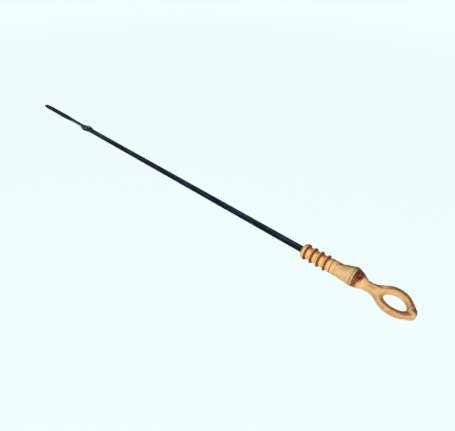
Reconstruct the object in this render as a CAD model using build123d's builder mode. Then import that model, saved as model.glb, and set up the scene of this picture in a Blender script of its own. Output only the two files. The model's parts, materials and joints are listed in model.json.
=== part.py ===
from build123d import *
import os
from math import atan2, cos, pi, sin, tan

# Engine oil dipstick, lying on a level surface as it comes to rest.
# Millimetres, +Z up. The stick runs along X, with its tip towards -X and its finger loop towards +X.
# Places along the stick are counted from the front face of the handle's nose, towards the loop.

# Blade: a flat strip of spring steel, whose root is sunk in the handle's barrel and locked by the plastic
BLADE_REACH = 428.7
BLADE_WIDTH = 6.6
BLADE_THICKNESS = 1.2
BLADE_EDGE_CHAMFER = 0.25
ROOT_SINK = 4.9
ROOT_CORNER_RADIUS = 1.4
LOCK_HOLE_DIAMETER = 2.8
LOCK_HOLE_MARGIN = 7.0

# Measuring end of the blade, as lengths from the tip on
TIP_WIDTH = 4.0
TIP_CORNER_RADIUS = 1.2
TIP_TAPER = 10.0
LEAF_LENGTH = 59.0
WAIST_DRAW = 17.0
WAIST_LENGTH = 20.0
WAIST_WIDTH = 4.6
SWELL_WIDTH = 10.6
SWELL_CREST = 3.0
SWELL_FLANK = 10.0
MARK_HOLE_DIAMETER = 2.2
MARK_HOLE_SHIFT = 5.0
OUTLINE_RADIUS = 9.0

# Plug: a domed nose and sealing lips on a core, then a barrel with two fine grooves
NOSE_DIAMETER = 6.8
NOSE_CROWN = 0.7
CORE_DIAMETER = 9.9
LIP_DIAMETER = 12.9
LIP_PLACE = 3.7
LIP_PITCH = 5.85
LIP_COUNT = 4
LIP_LAND = 0.9
LIP_LEAD = 1.3
LIP_TRAIL = 0.5
BARREL_GAP = 1.9
BARREL_DIAMETER = 11.1
BARREL_LENGTH = 8.8
RING_SHIFT = 2.3
RING_WIDTH = 0.7
RING_DEPTH = 0.5
SCORE_SHIFT = 6.0
SCORE_WIDTH = 0.5
SCORE_DEPTH = 0.25

# Stop collar: a flare that grows mostly upwards, and stands a little proud of the barrel below
FLARE_LENGTH = 10.3
COLLAR_LAND = 2.0
COLLAR_RISE = 1.75
COLLAR_PROUD = 0.2
COLLAR_SCORE_WIDTH = 0.5
COLLAR_SCORE_DEPTH = 0.3
COLLAR_EDGE_RADIUS = 0.3
COLLAR_LEDGE = 0.1

# Neck: the collar's bellied back, drawn in to a bar that sinks into the loop before its hole
BACK_LENGTH = 8.0
BELLY_PLACE = 2.3
BELLY_BULGE = 0.5
NECK_DIAMETER = 7.7
NECK_RISE = 0.65
NECK_END_RISE = 0.35
NECK_SINK = 0.05
NECK_CLEARANCE = 1.7

# Finger loop: an oval ring on a flat root, as lengths from the collar on, whose end curls down
LOOP_ROOT = 14.1
LOOP_ROOT_WIDTH = 7.4
LOOP_SHOULDER = 10.3
LOOP_CROWN = 10.6
LOOP_TAPER = 10.0
LOOP_WIDTH = 23.1
LOOP_END_WIDTH = 5.2
LOOP_THICKNESS = 5.7
LOOP_EDGE_RADIUS = 1.8
CROTCH_RADIUS = 9.0
CROWN_FLAT = 0.78
END_FLAT = 0.273
ROOT_RIM = 7.3
SIDE_RIM = 4.6
END_RIM = 6.2
HOLE_DRAFT = 1.2
CURL_SHIFT = 10.4
CURL_RADIUS = 57.0
CURL_SWEEP = 45.0

# The rise up to which an edge counts as level, and the lean up to which a face counts as a wall
LEAN = 0.5

# Places along the stick
lip_front = LIP_PLACE - LIP_LAND / 2
last_lip_end = lip_front + (LIP_COUNT - 1) * LIP_PITCH + LIP_LAND + LIP_TRAIL
barrel_start = last_lip_end + BARREL_GAP
flare_start = barrel_start + BARREL_LENGTH
collar_start = flare_start + FLARE_LENGTH
collar_end = collar_start + COLLAR_LAND
back_end = collar_end + BACK_LENGTH
crotch = collar_end + LOOP_ROOT
shoulder = crotch + LOOP_SHOULDER
crown = shoulder + LOOP_CROWN
loop_end = crown + LOOP_TAPER
hole_start = crotch + ROOT_RIM
hole_end = loop_end - END_RIM
blade_root = barrel_start + ROOT_SINK

# Radii of the plug and the collar
blade_half = BLADE_THICKNESS / 2
core_radius = CORE_DIAMETER / 2
lip_radius = LIP_DIAMETER / 2
barrel_radius = BARREL_DIAMETER / 2
collar_radius = barrel_radius + COLLAR_RISE + COLLAR_PROUD

# The stick rests on the tip's underside and on the front lip, which sets its slope and its height
slope = atan2(lip_radius - blade_half, BLADE_REACH + lip_front)
nose_height = blade_half * cos(slope) + BLADE_REACH * sin(slope)

# The origin is under the middle of the whole length
nose_x = (BLADE_REACH - loop_end) / 2 * cos(slope)

stick = Plane(
    origin=(nose_x, 0, nose_height),
    x_dir=(cos(slope), 0, sin(slope)),
    z_dir=(-sin(slope), 0, cos(slope)),
)
profile = Plane(origin=stick.origin, x_dir=stick.x_dir, z_dir=-stick.y_dir)
axis = Axis(stick.origin, stick.x_dir)
upright = Axis(stick.origin, stick.z_dir)


def across(place, rise=0.0):
    """The plane across the stick at a place along it, centred a rise above its axis."""
    centre = stick.from_local_coords((place, 0, rise))
    return Plane(origin=centre, x_dir=stick.y_dir, z_dir=stick.x_dir)


def blade_outline():
    """Half of the blade's plan as points and corner radii, from the tip to the root."""
    tip = -BLADE_REACH
    waist = tip + LEAF_LENGTH + WAIST_DRAW
    flank = waist + WAIST_LENGTH
    crest = flank + SWELL_FLANK
    corners = [
        ((tip, TIP_WIDTH / 2), TIP_CORNER_RADIUS),
        ((tip + TIP_TAPER, BLADE_WIDTH / 2), OUTLINE_RADIUS),
        ((tip + LEAF_LENGTH, BLADE_WIDTH / 2), OUTLINE_RADIUS),
        ((waist, WAIST_WIDTH / 2), OUTLINE_RADIUS),
        ((flank, WAIST_WIDTH / 2), OUTLINE_RADIUS),
        ((crest, SWELL_WIDTH / 2), OUTLINE_RADIUS),
        ((crest + SWELL_CREST, SWELL_WIDTH / 2), OUTLINE_RADIUS),
        ((crest + SWELL_CREST + SWELL_FLANK, BLADE_WIDTH / 2), OUTLINE_RADIUS),
        ((blade_root, BLADE_WIDTH / 2), ROOT_CORNER_RADIUS),
    ]
    points = [(tip, 0)] + [point for point, _ in corners] + [(blade_root, 0)]
    return points, [radius for _, radius in corners], crest + SWELL_CREST / 2


# Blade
with BuildPart() as blade:
    with BuildSketch(stick.offset(-blade_half)):
        with BuildLine():
            points, radii, swell = blade_outline()
            FilletPolyline(*points, radius=radii)
            mirror(about=Plane.XZ)
        make_face()
    extrude(amount=BLADE_THICKNESS)
    flats = blade.faces().sort_by(upright)
    chamfer(flats[0].edges() + flats[-1].edges(), BLADE_EDGE_CHAMFER)
    with BuildSketch(stick.offset(-BLADE_THICKNESS)):
        with Locations((swell - MARK_HOLE_SHIFT, 0)):
            Circle(MARK_HOLE_DIAMETER / 2)
        with Locations((blade_root - LOCK_HOLE_MARGIN, 0)):
            Circle(LOCK_HOLE_DIAMETER / 2)
    extrude(amount=2 * BLADE_THICKNESS, mode=Mode.SUBTRACT)

# The loop's sides and end take the largest arcs that leave a short flat between them
shoulder_turn = atan2((LOOP_WIDTH - LOOP_ROOT_WIDTH) / 2, LOOP_SHOULDER)
crown_turn = atan2((LOOP_WIDTH - LOOP_END_WIDTH) / 2, LOOP_TAPER)
end_turn = pi / 2 - crown_turn
side_radius = (LOOP_CROWN - CROWN_FLAT) / (tan(shoulder_turn / 2) + tan(crown_turn / 2))
end_radius = (LOOP_END_WIDTH / 2 - END_FLAT) / tan(end_turn / 2)

# Loop: a band with a curled end, cut to the loop's plan, with its rims rounded for the finger
loop_half = LOOP_THICKNESS / 2
hole_half_length = (hole_end - hole_start) / 2
hole_half_width = LOOP_WIDTH / 2 - SIDE_RIM
with BuildPart() as loop:
    with BuildSketch(profile.offset(-LOOP_WIDTH)):
        with BuildLine():
            top = Line((collar_end, loop_half), (crotch + CURL_SHIFT, loop_half))
            under = Line((collar_end, -loop_half), (crotch + CURL_SHIFT, -loop_half))
            outer = JernArc(top @ 1, top % 1, CURL_RADIUS + loop_half, -CURL_SWEEP)
            inner = JernArc(under @ 1, under % 1, CURL_RADIUS - loop_half, -CURL_SWEEP)
            Line(outer @ 1, inner @ 1)
            Line(top @ 0, under @ 0)
        make_face()
    extrude(amount=2 * LOOP_WIDTH)
    with BuildSketch(stick.offset(-LOOP_WIDTH)):
        with BuildLine():
            root_edge = Line((collar_end, 0), (collar_end, LOOP_ROOT_WIDTH / 2))
            FilletPolyline(
                root_edge @ 1,
                (crotch, LOOP_ROOT_WIDTH / 2),
                (shoulder, LOOP_WIDTH / 2),
                (crown, LOOP_WIDTH / 2),
                (loop_end, LOOP_END_WIDTH / 2),
                (loop_end, 0),
                radius=(CROTCH_RADIUS, side_radius, side_radius, end_radius),
            )
            mirror(about=Plane.XZ)
        make_face()
    extrude(amount=2 * LOOP_WIDTH, mode=Mode.INTERSECT)

    # The hole opens upwards: it grows by its draft over one thickness
    for level in (-1, 1):
        with BuildSketch(stick.offset(level * LOOP_THICKNESS)):
            with Locations(((hole_start + hole_end) / 2, 0)):
                Ellipse(hole_half_length + level * HOLE_DRAFT, hole_half_width + level * HOLE_DRAFT)
    loft(mode=Mode.SUBTRACT)

    walls = loop.faces().filter_by(lambda face: abs(face.normal_at().dot(stick.z_dir)) < LEAN)
    rims = walls.sort_by(axis)[1:].edges().filter_by(lambda edge: abs((edge % 0.5).dot(stick.z_dir)) < LEAN)
    fillet(rims, LOOP_EDGE_RADIUS)

# Neck: smooth from the back of the collar over its belly and the bar into the loop
neck_radius = NECK_DIAMETER / 2
back_radius = collar_radius - COLLAR_EDGE_RADIUS - COLLAR_LEDGE
belly_share = BELLY_PLACE / BACK_LENGTH
belly_radius = back_radius + belly_share * (neck_radius - back_radius) + BELLY_BULGE
belly_rise = COLLAR_RISE + belly_share * (NECK_RISE - COLLAR_RISE)
with BuildPart() as neck:
    for place, rise, radius in (
        (collar_end, COLLAR_RISE, back_radius),
        (collar_end + BELLY_PLACE, belly_rise, belly_radius),
        (back_end, NECK_RISE, neck_radius),
        (hole_start - NECK_CLEARANCE, NECK_END_RISE, loop_half - NECK_END_RISE - NECK_SINK),
    ):
        with BuildSketch(across(place, rise)):
            Circle(radius)
    loft()

# Handle: turned forms first, then the flare, the collar and the grip, moulded round the blade's root
with BuildPart() as handle:
    with BuildSketch(profile):
        with BuildLine():
            nose = Line((0, 0), (0, NOSE_DIAMETER / 2))
            dome = SagittaArc(nose @ 1, (lip_front, lip_radius), NOSE_CROWN)
            Polyline(
                dome @ 1,
                (lip_front + LIP_LAND, lip_radius),
                (lip_front + LIP_LAND + LIP_TRAIL, core_radius),
                (barrel_start, core_radius),
                (barrel_start, barrel_radius),
                (flare_start, barrel_radius),
                (flare_start, 0),
                (0, 0),
            )
        make_face()
    revolve(axis=axis)

    # Sealing lips behind the nose, raked for pushing in
    for count in range(1, LIP_COUNT):
        front = lip_front + count * LIP_PITCH
        with BuildSketch(profile):
            with BuildLine():
                Polyline(
                    (front - LIP_LEAD, 0),
                    (front - LIP_LEAD, core_radius),
                    (front, lip_radius),
                    (front + LIP_LAND, lip_radius),
                    (front + LIP_LAND + LIP_TRAIL, core_radius),
                    (front + LIP_LAND + LIP_TRAIL, 0),
                    close=True,
                )
            make_face()
        revolve(axis=axis)

    # Flare and collar
    with BuildSketch(across(flare_start)):
        Circle(barrel_radius)
    with BuildSketch(across(collar_start, COLLAR_RISE)):
        Circle(collar_radius)
    loft()
    with BuildSketch(across(collar_start, COLLAR_RISE)):
        Circle(collar_radius)
    extrude(amount=COLLAR_LAND)
    fillet(handle.edges().filter_by(GeomType.CIRCLE).sort_by(axis)[-1], COLLAR_EDGE_RADIUS)

    # Grooves round the barrel and before the collar's land
    for place, rise, radius, width, depth in (
        (barrel_start + RING_SHIFT, 0, barrel_radius, RING_WIDTH, RING_DEPTH),
        (barrel_start + SCORE_SHIFT, 0, barrel_radius, SCORE_WIDTH, SCORE_DEPTH),
        (collar_start, COLLAR_RISE, collar_radius, COLLAR_SCORE_WIDTH, COLLAR_SCORE_DEPTH),
    ):
        with BuildSketch(across(place - width / 2, rise)):
            Circle(radius + depth)
            Circle(radius - depth, mode=Mode.SUBTRACT)
        extrude(amount=width, mode=Mode.SUBTRACT)

    add(neck.part)
    add(loop.part)
    add(blade.part, mode=Mode.SUBTRACT)

os.makedirs("parts", exist_ok=True)
for name, piece in (("blade", blade), ("handle", handle)):
    piece.part.label = name
    export_step(piece.part, f"parts/{name}.step")
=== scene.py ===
import json
from math import atan2, cos, pi, radians, sin

import bpy
from mathutils import Matrix, Vector


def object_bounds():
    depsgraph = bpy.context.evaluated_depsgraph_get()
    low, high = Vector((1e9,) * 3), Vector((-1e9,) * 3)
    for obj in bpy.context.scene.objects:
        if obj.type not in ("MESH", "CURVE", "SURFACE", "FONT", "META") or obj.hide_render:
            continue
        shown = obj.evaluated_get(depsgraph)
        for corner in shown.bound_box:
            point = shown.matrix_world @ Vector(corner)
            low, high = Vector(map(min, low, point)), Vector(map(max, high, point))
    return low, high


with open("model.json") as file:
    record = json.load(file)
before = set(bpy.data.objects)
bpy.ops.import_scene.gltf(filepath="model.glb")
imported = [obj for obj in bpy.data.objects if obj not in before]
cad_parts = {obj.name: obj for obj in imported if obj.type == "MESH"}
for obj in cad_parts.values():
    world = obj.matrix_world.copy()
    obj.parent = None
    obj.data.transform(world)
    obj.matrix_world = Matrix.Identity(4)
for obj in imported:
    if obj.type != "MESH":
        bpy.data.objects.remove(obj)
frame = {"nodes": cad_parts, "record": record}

cad_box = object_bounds()

# Engine oil dipstick: the solids carry the shapes, and this script gives them their finish, light and view.
# Metres, in the frame of the solids. Places in the finishes are millimetres in the stick's own frame:
# along it from the middle of the plug's lips towards the loop, across it towards the far side, and up.
MILLIMETRE = 0.001
plug = frame["record"]["mounts"][0]
PLUG_PLACE = Vector(plug["pos_m"])
ALONG = -Vector(plug["axis"])
LIP_RADIUS = plug["dims"]["r_mm"]

# Sealing lips of the plug, and places behind them along the handle
LIP_PITCH = 5.85
LIP_COUNT = 4
LIPS_HALF = LIP_PITCH * (LIP_COUNT - 1) / 2
BARREL_RADIUS = 5.55
FLARE_PLACE = 20.42
COLLAR_PLACE = 30.72
COLLAR_END = 32.72
LOOP_START = 54.2
HOLE_PLACE = 62.82
HOLE_HALF_LENGTH = 8.7
HOLE_HALF_WIDTH = 6.95

# Places along the blade
SWELL_PLACE = -333.7
WAIST_PLACE = -356.0
STRIP_HALF = 3.3

# Camera at the photograph's place: the image is 455 pixels wide, seen with a focal length of 380 pixels
IMAGE_WIDTH = 455
FOCAL_PIXELS = 380
SENSOR_WIDTH = 36.0
CAMERA_PLACE = PLUG_PLACE + Vector((0.09115, -0.1972, 0.20963))
CAMERA_AZIMUTH = radians(43.18)
CAMERA_ELEVATION = radians(39.18)
CLIP_START = 0.01
CLIP_END = 50.0

# Studio: a broad key lamp behind the camera, an even sky and a pale floor
KEY_AZIMUTH = radians(-62.0)
KEY_ELEVATION = radians(45.0)
KEY_DISTANCE = 1.2
KEY_SIZE = 0.36
KEY_LEVEL = 0.95
SKY_LEVEL = 0.18
SKY_COLOUR = (1.0, 0.97, 0.93, 1.0)
FLOOR_COLOUR = (0.88, 0.84, 0.79, 1.0)
GROUND_COLOUR = (0.88, 1.0, 0.996, 1.0)
GROUND_GLOW = 0.95
GROUND_FADE = (0.4, 0.9)
FLOOR_SIZE = 8.0

# In the values below, a noise is its scale, detail, roughness and distortion, and a band is its place, half
# width and fade. A pair is the value where something starts and the value where it is full, or it is the
# lowest and the highest share.

# Handle: which way a face is turned, as shares of far and up, and the patches that dirt and film break into
LAIN_SHARES = (0.73, 0.685)
RIDGE_SHARES = (0.26, 0.966)
PATCH_NOISE = (0.75, 4.0, 0.6, 0.4)

# Moulded plastic: slow clouds in the melt, brown flecks and the fine speckle of the filler
OCHRE_DEEP = (0.69, 0.405, 0.17, 1.0)
OCHRE_PALE = (0.80, 0.55, 0.285, 1.0)
CLOUD_NOISE = (0.11, 4.0, 0.6, 0.6)
CLOUD_RANGE = (0.3, 0.7)
FLECK_COLOUR = (0.46, 0.18, 0.045, 1.0)
FLECK_NOISE = (0.62, 4.0, 0.7, 0.3)
FLECK_RANGE = (0.54, 0.64)
FLECK_SHARE = 0.62
SPECKLE_COLOUR = (0.50, 0.23, 0.06, 1.0)
SPECKLE_NOISE = (2.6, 2.0, 0.6)
SPECKLE_RANGE = (0.52, 0.72)
SPECKLE_SHARE = 0.20

# Oil stain: deepest on the plug, with an uneven edge over the barrel
STAIN_COLOUR = (0.90, 0.56, 0.175, 1.0)
STAIN_NOISE = (0.35, 4.0, 0.65)
STAIN_WANDER = 9.0
STAIN_REACH = (30.0, 7.0)
STAIN_SHARES = (0.45, 0.85)

# Painted shadow behind each lip, cast by the lip and widest on the upper far side, with some grime
SHADE_AND_GRIME_COLOUR = (0.22, 0.058, 0.011, 1.0)
SHADE_AND_GRIME_SHARES = (0.75, 1.15)
PLUG_SPAN = (0.9, LIPS_HALF + 1.4, 0.4)
LIP_SHADOW_REACH = (2.9, 1.3)
LIP_SHADOW_WANDER = 0.8
LIP_SHADOW_LAIN = (0.7, 0.1)
LIP_SHADOW_SHIFT = 0.2

# Painted shade in the barrel's two grooves, as place, half width and share, and in the collar's score, with
# grime on the collar's land
GROOVES = ((13.92, 0.35, 1.0), (17.62, 0.25, 0.55))
GROOVE_FADE = 0.12
GROOVE_RADII = (BARREL_RADIUS, 5.4)
COLLAR_SCORE = (COLLAR_PLACE, 0.25, 0.1)
COLLAR_SCORE_SHARE = 0.7
COLLAR_LAND = ((COLLAR_PLACE + COLLAR_END) / 2, 0.9, 0.4)
LAND_PATCHES = (0.35, 0.6)
LAND_SHARE = 0.5

# Painted shade in the crease before the flare, and the collar's painted shadow on its back, with some grime
CREASE = (FLARE_PLACE, 0.5, 2.2)
CREASE_RIDGE = (0.955, 0.997)
CREASE_PATCHES = (0.30, 0.55)
COLLAR_SHADOW_LEE = 0.26
COLLAR_SHADOW_WANDER = 2.4
COLLAR_SHADOW_REACH = (COLLAR_END + 6.6, COLLAR_END + 4.2)
COLLAR_SHADOW_START = (COLLAR_END - 0.35, COLLAR_END)
COLLAR_SHADOW_SHARE = 1.25

# Painted deep shade, nearly black: blotches on the collar's back, the crease, and a line at the foot of each
# lip
DEEP_SHADE_COLOUR = (0.045, 0.005, 0.001, 1.0)
BLOTCH_NOISE = (0.42, 3.0, 0.6, 0.5)
BLOTCH_RANGE = (0.36, 0.52)
BLOTCH_LEE = (-1.0, 3.0)
BLOTCH_SHARE = 0.9
CREASE_DEEP_SHADE_SHARE = 0.8
FOOT = (1.15, 0.3, 0.4)
FOOT_PATCHES = (0.32, 0.55)
FOOT_SHARE = 0.45

# Painted shade, with a little oil film, on the upper far side of the stem: along its top, up to the neck, on
# the neck and on the collar
SHADE_AND_FILM_COLOUR = (0.17, 0.044, 0.011, 1.0)
SHADE_AND_FILM_GAIN = 1.3
SHADE_AND_FILM_PATCHES = (0.55, 1.0)
TOP_LAIN = (0.70, 1.0)
TOP_REACH = (16.0, 27.0)
TOP_SHARES = (0.5, 0.85)
TURNED_LAIN = (0.40, 0.95)
TURNED_REACH = (46.0, 40.0)
TURNED_SHARE = 0.6
NECK_SPAN = (42.0, 5.0, 3.0)
NECK_LAIN = (0.60, 0.98)
NECK_SHARE = 0.85
CREST_SPAN = (COLLAR_PLACE - 2.0, 4.0, 4.0)
CREST_LAIN = (0.55, 0.92)
CREST_SHARE = 0.8
VERGE_SPAN = (43.0, 5.0, 7.0)
VERGE_ACROSS = (0.6, 2.4)
VERGE_SHARE = 0.75

# Painted shade, with some oil, on the upper side of the plug: a red tone, and painted shade on the tops of
# the lips
UPPER_SHADE_COLOUR = (0.55, 0.10, 0.05, 1.0)
UPPER_SHADE_LAIN = (0.20, 0.75)
UPPER_SHADE_SHARE = 0.9
LIP_TOP_LAIN = (0.62, 0.95)
LIP_TOP_SHARE = 0.8
PLUG_REACH = (13.0, 10.5)
PLUG_PATCHES = (0.5, 1.0)

# The painted shade thins out where a face no longer turns up
TOPSIDE_FACING = (-0.1, 0.55)
TOPSIDE_SHARES = (0.15, 1.0)

# Painted shade on the loop's near and far rims and its end, and patchy dirt on its near wall
NEAR_RIM_REACH = (1.64, 1.38)
NEAR_RIM_ACROSS = (-1.0, -4.5)
FAR_RIM_REACH = (1.04, 1.22)
FAR_RIM_ACROSS = (0.5, 4.0)
RIM_FACING = (0.0, 0.5)
RIM_START = (LOOP_START - 4.0, LOOP_START + 2.0)
RIM_PATCHES = (0.4, 0.95)
END_REACH = (71.5, 75.5)
END_ACROSS = (-2.0, 1.5)
END_SHARE = 0.85
WALL_FACING = (-0.3, -0.8)
WALL_START = (55.0, 60.0)
WALL_ACROSS = (0.0, -3.0)
WALL_PATCHES = (0.3, 0.7)
WALL_SHARES = (0.0, 0.36)

# Painted light on the upward faces before the loop, where the thumb also wipes the plastic clean
WIPED_AND_LIT_COLOUR = (0.97, 0.63, 0.27, 1.0)
WIPED_AND_LIT_SPAN = (53.0, 4.0, 5.0)
WIPED_AND_LIT_FACING = (0.7, 1.0)
WIPED_AND_LIT_SHARE = 0.7

# Lips rubbed pale by the tube, with a painted highlight on their leading edges, and hair scuffs from handling
RUB_AND_GLINT_COLOUR = (0.90, 0.56, 0.31, 1.0)
RUB_AND_GLINT_RADII = (LIP_RADIUS - 0.5, LIP_RADIUS - 0.1)
RUB_AND_GLINT_REACH = (10.5, 9.8)
RUB_AND_GLINT_BEHIND = (3.9, 4.7)
RUB_AND_GLINT_PATCHES = (0.30, 0.5)
RUB_AND_GLINT_LAIN = (0.90, 0.35)
RUB_AND_GLINT_LAIN_SHARES = (0.2, 1.0)
RUB_AND_GLINT_SHARE = 0.9
SCUFF_COLOUR = (0.90, 0.71, 0.43, 1.0)
HAIR_STRETCH = (0.16, 1.5, 1.5)
HAIR_NOISE = (1.4, 2.0, 0.5, 1.2)
HAIR_BAND = (0.5, 0.006, 0.012)
HAIR_PATCHES = (0.45, 0.6)
SCUFF_REACH = (20.0, 34.0)
SCUFF_SHARE = 0.35

# Skin of the plastic: gloss, grain, slow waves, the parting line at mid height and the hair scuffs' furrows
HANDLE_SPECULAR = 0.1
GLOSS_NOISE = (0.9, 4.0, 0.6)
HANDLE_ROUGHNESS = (0.40, 0.58)
SHADE_AND_GRIME_ROUGHENS = 0.10
RUBBING_SMOOTHS = 0.08
GRAIN_NOISE = (4.5, 3.0, 0.6)
GRAIN_DEPTH = 0.012
WAVE_NOISE = (0.5, 2.0, 0.5)
WAVE_DEPTH = 0.05
PARTING_BAND = (0.0, 0.05, 0.09)
PARTING_REACH = (LOOP_START + 2.0, LOOP_START)
PARTING_DEPTH = 0.05
HAIR_DEPTH = 0.015

# Blackened steel: drawn out along the strip by rolling, with a painted sheen, a lighter blue-grey, along its
# middle
BLACK_DEEP = (0.004, 0.008, 0.018, 1.0)
BLACK_PALE = (0.010, 0.018, 0.035, 1.0)
ROLLING_STRETCH = (0.02, 2.2, 2.2)
ROLLING_NOISE = (1.0, 4.0, 0.65)
ROLLING_RANGE = (0.35, 0.7)
MIDDLE_SHEEN_COLOUR = (0.032, 0.050, 0.082, 1.0)
BLADE_CLOUD_STRETCH = (0.25, 1.0, 1.0)
BLADE_CLOUD_NOISE = (0.12, 4.0, 0.6, 0.5)
SHEEN_ACROSS = (STRIP_HALF - 0.6, 0.6)
SHEEN_RANGE = (0.38, 0.66)

# Bare steel on the broken edges; bare steel on the near side of the waist and on the coined swell, which also
# stands for painted glints there
BARE_AND_GLINT_COLOUR = (0.36, 0.36, 0.37, 1.0)
BARE_METALLIC = 0.9
CHIP_STRETCH = (0.3, 1.0, 1.0)
CHIP_NOISE = (0.5, 5.0, 0.7)
EDGE_FACING = (0.7, 0.16, 0.1)
EDGE_CHIPS = (0.62, 0.7)
WAIST_SPAN = (WAIST_PLACE, 11.0, 5.0)
WAIST_ACROSS = (-0.9, -1.7)
WAIST_CHIPS = (0.3, 0.45)
COINED_SPAN = (SWELL_PLACE - 4.0, 5.0, 3.0)
COINED_CHIPS = (0.5, 0.62)
COINED_SHARE = 0.8

# Oil on the blade: a dark film over the last stretch before the tip
LEAF_OIL_COLOUR = (0.007, 0.011, 0.026, 1.0)
LEAF_OIL_WANDER = 22.0
LEAF_OIL_REACH = (SWELL_PLACE + 20.0, SWELL_PLACE - 4.0)
LEAF_OIL_SHARE = 0.5

# Skin of the steel: gloss, rolling lines and fine pits
BLADE_SPECULAR = 0.01
BLADE_ROUGHNESS = (0.36, 0.55)
OIL_SMOOTHS = 0.10
ROLLING_DEPTH = 0.012
PIT_NOISE = (3.0, 2.0, 0.5)
PIT_DEPTH = 0.006


class Graph:
    """A node tree with one short call for each kind of node that the finishes use."""

    def __init__(self, tree):
        self.nodes = tree.nodes
        self.links = tree.links
        self.nodes.clear()

    def add(self, kind, sockets=(), **settings):
        node = self.nodes.new(kind)
        for setting, value in settings.items():
            setattr(node, setting, value)
        for socket, value in dict(sockets).items():
            self.feed(node.inputs[socket], value)
        return node

    def feed(self, socket, value):
        if isinstance(value, bpy.types.NodeSocket):
            self.links.new(value, socket)
        else:
            socket.default_value = value

    def math(self, operation, first, second=0.0, clamp=False):
        node = self.add("ShaderNodeMath", {0: first, 1: second}, operation=operation, use_clamp=clamp)
        return node.outputs[0]

    def plus(self, first, second, clamp=False):
        return self.math("ADD", first, second, clamp)

    def minus(self, first, second, clamp=False):
        return self.math("SUBTRACT", first, second, clamp)

    def times(self, *factors):
        product = factors[0]
        for factor in factors[1:]:
            product = self.math("MULTIPLY", product, factor)
        return product

    def most(self, *values):
        """The largest of the values."""
        largest = values[0]
        for value in values[1:]:
            largest = self.math("MAXIMUM", largest, value)
        return largest

    def length(self, first, second):
        """The length of a line with these two parts, at right angles to each other."""
        return self.math("SQRT", self.plus(self.times(first, first), self.times(second, second)))

    def rise(self, value, low, high):
        """0 below low and 1 above high, smooth between; the other way round where low is above high."""
        ends = (0.0, 1.0) if low < high else (1.0, 0.0)
        sockets = {"Value": value, "From Min": min(low, high), "From Max": max(low, high)}
        node = self.add("ShaderNodeMapRange", sockets, interpolation_type="SMOOTHSTEP")
        node.inputs["To Min"].default_value, node.inputs["To Max"].default_value = ends
        return node.outputs["Result"]

    def spread(self, value, low, high):
        """A value between 0 and 1 spread evenly from low to high."""
        sockets = {"Value": value, "To Min": low, "To Max": high}
        return self.add("ShaderNodeMapRange", sockets).outputs["Result"]

    def band(self, value, place, half, fade):
        """1 within half of a place, fading to 0 over the fade beyond it."""
        away = self.math("ABSOLUTE", self.minus(value, place))
        return self.rise(away, half + fade, half)

    def noise(self, vector, scale, detail, roughness, distortion=0.0):
        sockets = {
            "Vector": vector,
            "Scale": scale,
            "Detail": detail,
            "Roughness": roughness,
            "Distortion": distortion,
        }
        return self.add("ShaderNodeTexNoise", sockets).outputs["Fac"]

    def stretch(self, vector, scale):
        sockets = {"Vector": vector, "Scale": scale}
        return self.add("ShaderNodeMapping", sockets).outputs["Vector"]

    def mix(self, factor, first, second):
        """A colour between two."""
        node = self.add("ShaderNodeMix", data_type="RGBA")
        self.feed(node.inputs["Factor"], factor)
        colours = [socket for socket in node.inputs if socket.type == "RGBA"]
        self.feed(colours[0], first)
        self.feed(colours[1], second)
        return next(socket for socket in node.outputs if socket.type == "RGBA")

    def bump(self, height, depth, normal=None):
        """A normal tilted by a height, whose full depth is in millimetres."""
        sockets = {"Height": height, "Strength": 1.0, "Distance": depth * MILLIMETRE}
        if normal is not None:
            sockets["Normal"] = normal
        return self.add("ShaderNodeBump", sockets).outputs["Normal"]

    def seen(self):
        """1 for rays that show the background: from the camera, or off and through what is shiny or clear."""
        path = self.add("ShaderNodeLightPath").outputs
        return self.most(path["Is Camera Ray"], path["Is Glossy Ray"], path["Is Transmission Ray"])


class Surface:
    """Where a point of the surface is in the stick's own millimetres, and which way it faces."""

    def __init__(self, graph):
        coordinates = graph.add("ShaderNodeTexCoord").outputs
        sockets = {
            "Vector": coordinates["Object"],
            "Location": PLUG_PLACE,
            "Rotation": (0.0, -atan2(ALONG.z, ALONG.x), 0.0),
            "Scale": (MILLIMETRE, MILLIMETRE, MILLIMETRE),
        }
        self.place = graph.add("ShaderNodeMapping", sockets, vector_type="TEXTURE").outputs["Vector"]
        parts = graph.add("ShaderNodeSeparateXYZ", {"Vector": self.place}).outputs
        self.along, self.across, self.up = parts["X"], parts["Y"], parts["Z"]
        facing = graph.add("ShaderNodeSeparateXYZ", {"Vector": coordinates["Normal"]}).outputs
        self.facing_far, self.facing_up = facing["Y"], facing["Z"]


class HandleSurface(Surface):
    """A point of the handle's surface, with what several steps of its finish share."""

    def __init__(self, graph):
        super().__init__(graph)
        self.radius = graph.length(self.across, self.up)
        self.lee = graph.plus(self.across, self.up)
        self.patches = graph.noise(self.place, *PATCH_NOISE)
        self.lain = self.turned(graph, *LAIN_SHARES)

        # The distance behind the middle of the last lip passed
        pitches = graph.math("DIVIDE", graph.minus(self.along, -LIPS_HALF), LIP_PITCH)
        self.behind = graph.times(graph.math("FRACT", pitches), LIP_PITCH)

    def turned(self, graph, far, up):
        """How far a face is turned towards a direction with these parts."""
        return graph.plus(graph.times(self.facing_far, far), graph.times(self.facing_up, up))


def new_material(name):
    material = bpy.data.materials.new(name)
    material.use_nodes = True
    return material, Graph(material.node_tree)


def finish_surface(graph, colour, roughness, normal, specular, metallic=0.0):
    sockets = {
        "Base Color": colour,
        "Roughness": roughness,
        "Metallic": metallic,
        "Specular IOR Level": specular,
        "Normal": normal,
    }
    shader = graph.add("ShaderNodeBsdfPrincipled", sockets)
    graph.add("ShaderNodeOutputMaterial", {"Surface": shader.outputs["BSDF"]})


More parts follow.
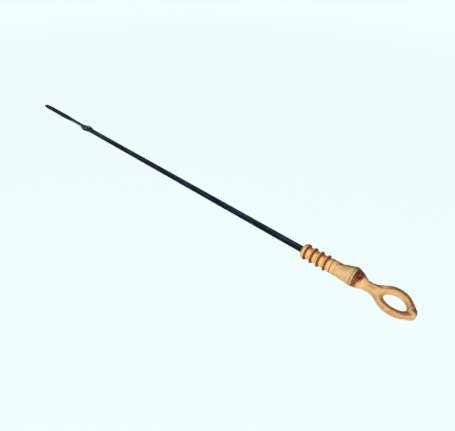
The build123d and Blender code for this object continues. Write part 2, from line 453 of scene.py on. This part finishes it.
def moulded_plastic(graph, at):
    """The colour of the clean plastic, with the oil that has soaked into it round the plug."""
    clouds = graph.rise(graph.noise(at.place, *CLOUD_NOISE), *CLOUD_RANGE)
    flecks = graph.rise(graph.noise(at.place, *FLECK_NOISE), *FLECK_RANGE)
    speckle = graph.rise(graph.noise(at.place, *SPECKLE_NOISE), *SPECKLE_RANGE)
    colour = graph.mix(clouds, OCHRE_DEEP, OCHRE_PALE)
    colour = graph.mix(graph.times(flecks, FLECK_SHARE), colour, FLECK_COLOUR)
    colour = graph.mix(graph.times(speckle, SPECKLE_SHARE), colour, SPECKLE_COLOUR)

    uneven = graph.noise(at.place, *STAIN_NOISE)
    soaked = graph.rise(graph.plus(at.along, graph.times(uneven, STAIN_WANDER)), *STAIN_REACH)
    return graph.mix(graph.times(soaked, graph.spread(uneven, *STAIN_SHARES)), colour, STAIN_COLOUR)


def painted_shade_and_grime(graph, at, colour):
    """The colour with painted shade and some grime in the recesses and behind the collar, and painted deep
    shade, and the share of the shade and grime.
    """
    plug_span = graph.band(at.along, *PLUG_SPAN)
    # Painted shadow cast behind each lip, widest on the upper far side, with some grime
    shadow_behind = graph.plus(at.behind, graph.times(graph.rise(at.lain, *LIP_SHADOW_LAIN), LIP_SHADOW_SHIFT))
    lip_shadow = graph.rise(graph.plus(shadow_behind, graph.times(at.patches, LIP_SHADOW_WANDER)), *LIP_SHADOW_REACH)
    shade_and_grime_places = graph.times(lip_shadow, plug_span)

    # Painted shade in the barrel's grooves and the collar's score; grime patches on the collar's land
    for place, half, share in GROOVES:
        groove = graph.band(at.along, place, half, GROOVE_FADE)
        shade_and_grime_places = graph.most(shade_and_grime_places, graph.times(groove, graph.rise(at.radius, *GROOVE_RADII), share))
    score = graph.times(graph.band(at.along, *COLLAR_SCORE), COLLAR_SCORE_SHARE)
    land = graph.times(graph.band(at.along, *COLLAR_LAND), graph.rise(at.patches, *LAND_PATCHES), LAND_SHARE)

    # Painted shade in the crease before the flare
    crease_shade = graph.times(
        graph.band(at.along, *CREASE),
        graph.rise(at.turned(graph, *RIDGE_SHARES), *CREASE_RIDGE),
        graph.rise(at.patches, *CREASE_PATCHES),
    )
    # Painted shadow of the collar on its back, its edge slanted as if cast by the light, with some grime
    collar_shadow_edge = graph.minus(at.along, graph.times(at.lee, COLLAR_SHADOW_LEE))
    collar_shadow = graph.rise(graph.plus(collar_shadow_edge, graph.times(at.patches, COLLAR_SHADOW_WANDER)), *COLLAR_SHADOW_REACH)
    collar_shadow = graph.times(collar_shadow, graph.rise(at.along, *COLLAR_SHADOW_START))

    shade_and_grime_places = graph.most(shade_and_grime_places, score, land, crease_shade, graph.times(collar_shadow, COLLAR_SHADOW_SHARE))
    shade_and_grime = graph.math("MULTIPLY", shade_and_grime_places, graph.spread(at.patches, *SHADE_AND_GRIME_SHARES), clamp=True)
    colour = graph.mix(shade_and_grime, colour, SHADE_AND_GRIME_COLOUR)

    # Painted deep shade: blotches in the collar's shadow, in the crease and at the foot of each lip
    blotches = graph.rise(graph.noise(at.place, *BLOTCH_NOISE), *BLOTCH_RANGE)
    blotches = graph.times(collar_shadow, blotches, graph.rise(at.lee, *BLOTCH_LEE), BLOTCH_SHARE)
    foot = graph.times(graph.band(at.behind, *FOOT), plug_span)
    foot = graph.times(foot, graph.rise(at.patches, *FOOT_PATCHES), FOOT_SHARE)
    deep_shade = graph.most(blotches, graph.times(crease_shade, CREASE_DEEP_SHADE_SHARE), foot)
    return graph.mix(deep_shade, colour, DEEP_SHADE_COLOUR), shade_and_grime


def stem_shade_and_film(graph, at, topside, plug_side):
    """The share of painted shade, with a little oil film, from the plug to the neck."""
    # Painted shade on the faces turned up and away, with a little oil film
    top_shares = graph.spread(graph.rise(at.along, *TOP_REACH), *TOP_SHARES)
    top = graph.times(graph.rise(at.lain, *TOP_LAIN), top_shares)
    turned = graph.times(graph.rise(at.lain, *TURNED_LAIN), graph.rise(at.along, *TURNED_REACH), TURNED_SHARE)
    shade_and_film = graph.times(graph.most(top, turned), graph.spread(at.patches, *SHADE_AND_FILM_PATCHES))
    neck = graph.times(graph.band(at.along, *NECK_SPAN), graph.rise(at.lain, *NECK_LAIN), NECK_SHARE)
    crest = graph.times(graph.band(at.along, *CREST_SPAN), graph.rise(at.lain, *CREST_LAIN), CREST_SHARE)
    lip_tops = graph.times(graph.rise(at.lain, *LIP_TOP_LAIN), plug_side, LIP_TOP_SHARE)
    verge = graph.times(graph.rise(at.across, *VERGE_ACROSS), graph.band(at.along, *VERGE_SPAN), VERGE_SHARE)
    return graph.times(graph.most(shade_and_film, neck, crest, lip_tops, verge), topside)


def loop_shade_and_film(graph, at):
    """The share of painted shade on the finger loop's rims and end, and of dirt on its near wall."""
    hole_along = graph.math("DIVIDE", graph.minus(at.along, HOLE_PLACE), HOLE_HALF_LENGTH)
    hole_across = graph.math("DIVIDE", at.across, HOLE_HALF_WIDTH)
    hole_reach = graph.length(hole_along, hole_across)
    # Painted shade on the loop's rims
    near = graph.times(graph.rise(hole_reach, *NEAR_RIM_REACH), graph.rise(at.across, *NEAR_RIM_ACROSS))
    far = graph.times(graph.rise(hole_reach, *FAR_RIM_REACH), graph.rise(at.across, *FAR_RIM_ACROSS))
    rims = graph.times(
        graph.most(near, far),
        graph.rise(at.facing_up, *RIM_FACING),
        graph.rise(at.along, *RIM_START),
        graph.spread(at.patches, *RIM_PATCHES),
    )
    # Painted shade on the loop's end
    end = graph.times(graph.rise(at.along, *END_REACH), graph.rise(at.across, *END_ACROSS), END_SHARE)
    wall = graph.times(
        graph.rise(at.facing_far, *WALL_FACING),
        graph.rise(at.along, *WALL_START),
        graph.rise(at.across, *WALL_ACROSS),
        graph.spread(graph.rise(at.patches, *WALL_PATCHES), *WALL_SHARES),
    )
    return graph.most(rims, end, wall)


def plastic_shade_and_light(graph, at, colour):
    """The colour with painted shade on the side that lay uppermost and away and on the loop, and painted
    light before the loop.
    """
    topside = graph.spread(graph.rise(at.facing_up, *TOPSIDE_FACING), *TOPSIDE_SHARES)
    plug_patches = graph.spread(at.patches, *PLUG_PATCHES)
    plug_side = graph.times(graph.rise(at.along, *PLUG_REACH), plug_patches, topside)
    # Painted shade: a red tone on the plug's upper far side
    upper_shade = graph.times(graph.rise(at.lain, *UPPER_SHADE_LAIN), plug_side)
    colour = graph.mix(graph.times(upper_shade, UPPER_SHADE_SHARE), colour, UPPER_SHADE_COLOUR)

    # Painted light on the upward faces before the loop, where the thumb also wipes
    wiped_and_lit = graph.times(
        graph.band(at.along, *WIPED_AND_LIT_SPAN), graph.rise(at.facing_up, *WIPED_AND_LIT_FACING), WIPED_AND_LIT_SHARE
    )
    colour = graph.mix(wiped_and_lit, colour, WIPED_AND_LIT_COLOUR)

    # Painted shade on the stem's upper far side and on the loop
    shade_and_film = graph.most(stem_shade_and_film(graph, at, topside, plug_side), loop_shade_and_film(graph, at))
    return graph.mix(graph.math("MULTIPLY", shade_and_film, SHADE_AND_FILM_GAIN, clamp=True), colour, SHADE_AND_FILM_COLOUR)


def rubbed_lip_highlights(graph, at):
    """The share of rubbing and painted highlight on the lips' leading edges."""
    return graph.times(
        graph.rise(at.radius, *RUB_AND_GLINT_RADII),
        graph.rise(at.along, *RUB_AND_GLINT_REACH),
        graph.rise(at.behind, *RUB_AND_GLINT_BEHIND),
        graph.rise(at.patches, *RUB_AND_GLINT_PATCHES),
        graph.spread(graph.rise(at.lain, *RUB_AND_GLINT_LAIN), *RUB_AND_GLINT_LAIN_SHARES),
    )


def handle_finish():
    """Ochre moulded plastic, stained by oil round the plug, with painted shade and some grime in every
    recess, painted shade on its upper far side and painted highlights on its lips and before the loop.
    """
    material, graph = new_material("ochre_plastic")
    at = HandleSurface(graph)
    colour, shade_and_grime = painted_shade_and_grime(graph, at, moulded_plastic(graph, at))
    colour = plastic_shade_and_light(graph, at, colour)

    rub_and_highlight = rubbed_lip_highlights(graph, at)
    # Painted highlight on the lips' rubbed leading edges
    colour = graph.mix(graph.times(rub_and_highlight, RUB_AND_GLINT_SHARE), colour, RUB_AND_GLINT_COLOUR)
    hairs = graph.noise(graph.stretch(at.place, HAIR_STRETCH), *HAIR_NOISE)
    hairs = graph.times(graph.band(hairs, *HAIR_BAND), graph.rise(at.patches, *HAIR_PATCHES))
    scuffs = graph.times(hairs, graph.rise(at.along, *SCUFF_REACH), SCUFF_SHARE)
    colour = graph.mix(scuffs, colour, SCUFF_COLOUR)

    roughness = graph.spread(graph.noise(at.place, *GLOSS_NOISE), *HANDLE_ROUGHNESS)
    roughness = graph.plus(roughness, graph.times(shade_and_grime, SHADE_AND_GRIME_ROUGHENS), clamp=True)
    roughness = graph.minus(roughness, graph.times(rub_and_highlight, RUBBING_SMOOTHS), clamp=True)

    normal = graph.bump(graph.noise(at.place, *GRAIN_NOISE), GRAIN_DEPTH)
    normal = graph.bump(graph.noise(at.place, *WAVE_NOISE), WAVE_DEPTH, normal)
    parting = graph.times(graph.band(at.up, *PARTING_BAND), graph.rise(at.along, *PARTING_REACH))
    normal = graph.bump(parting, PARTING_DEPTH, normal)
    normal = graph.bump(graph.minus(1.0, hairs), HAIR_DEPTH, normal)

    finish_surface(graph, colour, roughness, normal, HANDLE_SPECULAR)
    return material


def blade_finish():
    """Blackened spring steel with rolling lines, a painted sheen along its middle, an oily measuring end and
    edges worn bright in places, with painted glints at the waist and swell.
    """
    material, graph = new_material("blackened_steel")
    at = Surface(graph)

    rolling = graph.noise(graph.stretch(at.place, ROLLING_STRETCH), *ROLLING_NOISE)
    clouds = graph.noise(graph.stretch(at.place, BLADE_CLOUD_STRETCH), *BLADE_CLOUD_NOISE)
    colour = graph.mix(graph.rise(rolling, *ROLLING_RANGE), BLACK_DEEP, BLACK_PALE)
    # Painted sheen: a lighter blue-grey band along the strip's middle stands in for a reflection
    middle = graph.rise(graph.math("ABSOLUTE", at.across), *SHEEN_ACROSS)
    colour = graph.mix(graph.times(middle, graph.rise(clouds, *SHEEN_RANGE)), colour, MIDDLE_SHEEN_COLOUR)

    # Bare steel shows where the strip rubs in its tube; at the waist's near side and on the swell it also
    # stands for painted glints
    chips = graph.noise(graph.stretch(at.place, CHIP_STRETCH), *CHIP_NOISE)
    edges = graph.band(graph.math("ABSOLUTE", at.facing_up), *EDGE_FACING)
    edges = graph.times(edges, graph.rise(chips, *EDGE_CHIPS))
    # The bare patches at the waist's near side and on the swell also stand for painted glints
    waist_glint = graph.times(graph.band(at.along, *WAIST_SPAN), graph.rise(at.across, *WAIST_ACROSS))
    waist_glint = graph.times(waist_glint, graph.rise(chips, *WAIST_CHIPS))
    swell_glint = graph.times(graph.band(at.along, *COINED_SPAN), graph.rise(chips, *COINED_CHIPS), COINED_SHARE)
    bare_and_glints = graph.most(edges, waist_glint, swell_glint)
    colour = graph.mix(bare_and_glints, colour, BARE_AND_GLINT_COLOUR)

    oil = graph.rise(graph.plus(at.along, graph.times(clouds, LEAF_OIL_WANDER)), *LEAF_OIL_REACH)
    colour = graph.mix(graph.times(oil, LEAF_OIL_SHARE), colour, LEAF_OIL_COLOUR)

    roughness = graph.spread(rolling, *BLADE_ROUGHNESS)
    roughness = graph.minus(roughness, graph.times(oil, OIL_SMOOTHS), clamp=True)

    normal = graph.bump(rolling, ROLLING_DEPTH)
    normal = graph.bump(graph.noise(at.place, *PIT_NOISE), PIT_DEPTH, normal)

    finish_surface(graph, colour, roughness, normal, BLADE_SPECULAR, graph.times(bare_and_glints, BARE_METALLIC))
    return material


def dress(node, material):
    """Gives every slot of a solid's object the finish."""
    piece = frame["nodes"][node]
    if not piece.material_slots:
        piece.data.materials.append(material)
    for material_slot in piece.material_slots:
        material_slot.material = material


def bearing(azimuth):
    """The level direction at an azimuth."""
    return Vector((cos(azimuth), sin(azimuth), 0.0))


def raised(level, elevation):
    """A level direction, raised by an elevation."""
    return level * cos(elevation) + Vector((0.0, 0.0, sin(elevation)))


dress("handle", handle_finish())
dress("blade", blade_finish())

# Floor: pale to the eye, and a plain matt surface for the light that falls on it. Its shading fades out away
# from the object, so that it meets the sky without a line.
half_floor = FLOOR_SIZE / 2
floor_level = cad_box[0][2]
floor_corners = [
    (-half_floor, -half_floor, floor_level),
    (half_floor, -half_floor, floor_level),
    (half_floor, half_floor, floor_level),
    (-half_floor, half_floor, floor_level),
]
floor_mesh = bpy.data.meshes.new("floor")
floor_mesh.from_pydata(floor_corners, [], [(0, 1, 2, 3)])
floor = bpy.data.objects.new("floor", floor_mesh)
bpy.context.scene.collection.objects.link(floor)
floor_material, graph = new_material("pale_floor")
matt = graph.add("ShaderNodeBsdfDiffuse", {"Color": FLOOR_COLOUR}).outputs["BSDF"]
glow = graph.add("ShaderNodeEmission", {"Color": GROUND_COLOUR, "Strength": 1.0}).outputs["Emission"]
floor_place = graph.add("ShaderNodeTexCoord").outputs["Object"]
distance = graph.add("ShaderNodeVectorMath", {0: floor_place}, operation="LENGTH").outputs["Value"]
glow_share = graph.spread(graph.rise(distance, *GROUND_FADE), GROUND_GLOW, 1.0)
blend = graph.add("ShaderNodeMixShader", {0: graph.times(graph.seen(), glow_share), 1: matt, 2: glow})
graph.add("ShaderNodeOutputMaterial", {"Surface": blend.outputs["Shader"]})
floor_mesh.materials.append(floor_material)

# Sky: even light, shown as the floor's colour
world = bpy.data.worlds.new("studio")
world.use_nodes = True
bpy.context.scene.world = world
graph = Graph(world.node_tree)
light = graph.add("ShaderNodeBackground", {"Color": SKY_COLOUR, "Strength": SKY_LEVEL}).outputs["Background"]
shown = graph.add("ShaderNodeBackground", {"Color": GROUND_COLOUR, "Strength": 1.0}).outputs["Background"]
blend = graph.add("ShaderNodeMixShader", {0: graph.seen(), 1: light, 2: shown})
graph.add("ShaderNodeOutputWorld", {"Surface": blend.outputs["Shader"]})

# Key lamp: at a level of 1 it lights a white surface that faces it to white
key_data = bpy.data.lights.new("key", "AREA")
key_data.shape = "DISK"
key_data.size = KEY_SIZE
key_data.energy = KEY_LEVEL * pi * pi * KEY_DISTANCE**2
key = bpy.data.objects.new("key", key_data)
key_direction = raised(bearing(KEY_AZIMUTH), KEY_ELEVATION)
key.location = PLUG_PLACE + key_direction * KEY_DISTANCE
key.rotation_euler = key_direction.to_track_quat("Z", "Y").to_euler()
bpy.context.scene.collection.objects.link(key)

# Camera
right = bearing(CAMERA_AZIMUTH)
forward = raised(bearing(CAMERA_AZIMUTH + pi / 2), -CAMERA_ELEVATION)
camera_data = bpy.data.cameras.new("camera")
camera_data.sensor_fit = "HORIZONTAL"
camera_data.sensor_width = SENSOR_WIDTH
camera_data.lens = FOCAL_PIXELS * SENSOR_WIDTH / IMAGE_WIDTH
camera_data.clip_start = CLIP_START
camera_data.clip_end = CLIP_END
camera = bpy.data.objects.new("camera", camera_data)
turn = Matrix((right, right.cross(forward), -forward)).transposed().to_4x4()
camera.matrix_world = Matrix.Translation(CAMERA_PLACE) @ turn
bpy.context.scene.collection.objects.link(camera)
bpy.context.scene.camera = camera
bpy.context.scene.view_settings.view_transform = "Standard"
